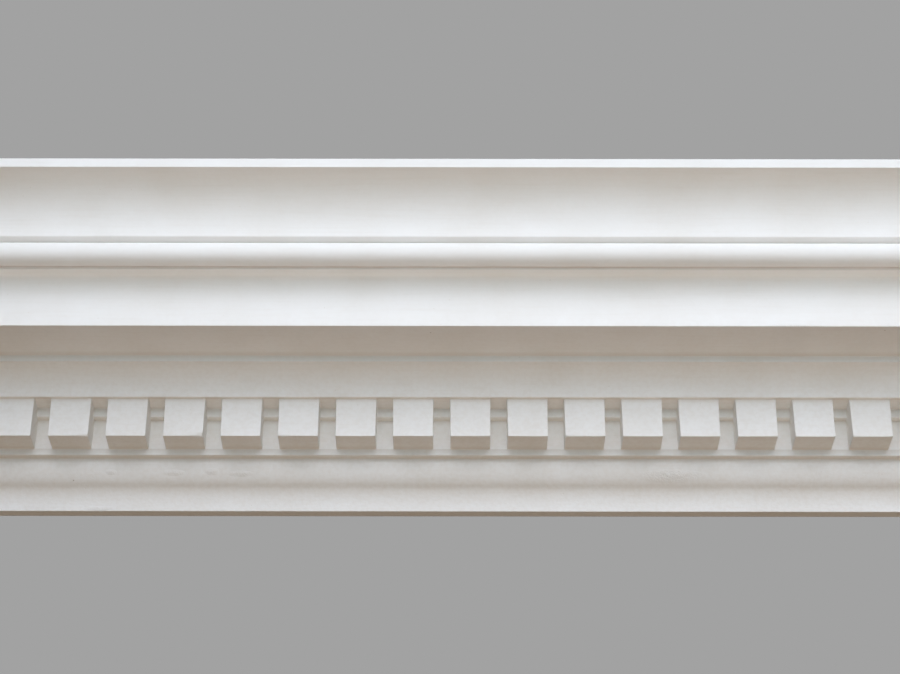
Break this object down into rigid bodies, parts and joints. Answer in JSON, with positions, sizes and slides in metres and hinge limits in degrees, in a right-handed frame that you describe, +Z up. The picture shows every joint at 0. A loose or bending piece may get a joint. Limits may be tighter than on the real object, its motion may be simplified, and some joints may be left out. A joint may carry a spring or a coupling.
{
  "type": "dentil cornice moulding length",
  "caption": "Straight length of white plaster dentil cornice with cavetto, bead, corona, bed mould and cyma, cut square at both ends, for the corner of a wall and a ceiling.",
  "frame": {"origin": "centre of the flat face that bears on the wall, at the middle of the length", "axes": "+X along the length, +Y into the wall, +Z up towards the ceiling"},
  "size_m": [0.54, 0.1262, 0.1422],
  "materials": {
    "plaster": "matt white cast gypsum plaster"
  },
  "bodies": {
    "root": {"cornice_moulding": "plaster"}
  },
  "joints": []
}
